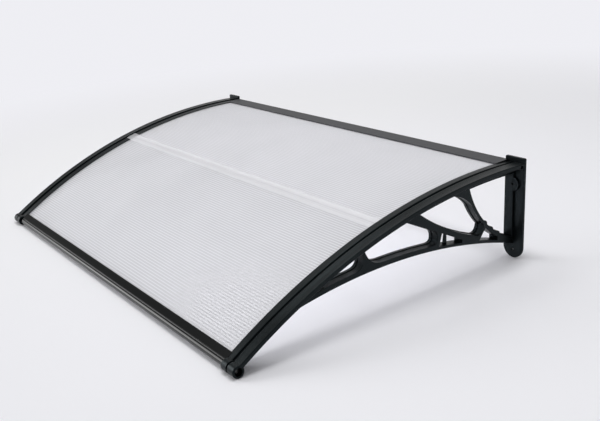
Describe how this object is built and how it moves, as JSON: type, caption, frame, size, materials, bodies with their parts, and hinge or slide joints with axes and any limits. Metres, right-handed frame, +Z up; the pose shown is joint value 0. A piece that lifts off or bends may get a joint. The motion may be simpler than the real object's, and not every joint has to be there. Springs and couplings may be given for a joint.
{
  "type": "door canopy",
  "caption": "Curved door canopy: twin-wall polycarbonate sheets between two lattice wall brackets, with a bar along the wall and a bar along the front.",
  "frame": {"origin": "centre of the wall bar's back face, on the wall", "axes": "+X to the right along the wall bar as seen from the front, +Y into the wall, +Z up"},
  "size_m": [1.2, 0.7399, 0.2596],
  "materials": {
    "black_plastic": "fine-grained black moulded plastic",
    "clear_sheet": "translucent frosted twin-wall polycarbonate",
    "strip_plastic": "translucent plastic profile",
    "grey_aluminium": "satin grey anodised",
    "black_aluminium": "satin black anodised",
    "dark_steel": "blackened screw steel"
  },
  "bodies": {
    "root": {"bracket_left": "black_plastic", "bracket_right": "black_plastic", "rear_sheet": "clear_sheet", "front_sheet": "clear_sheet", "joining_strip": "strip_plastic", "wall_bar": "grey_aluminium", "front_bar": "black_aluminium", "wall_bar_screw_left": "dark_steel", "wall_bar_screw_right": "dark_steel", "front_bar_screw_left": "dark_steel", "front_bar_screw_right": "dark_steel"}
  },
  "joints": []
}
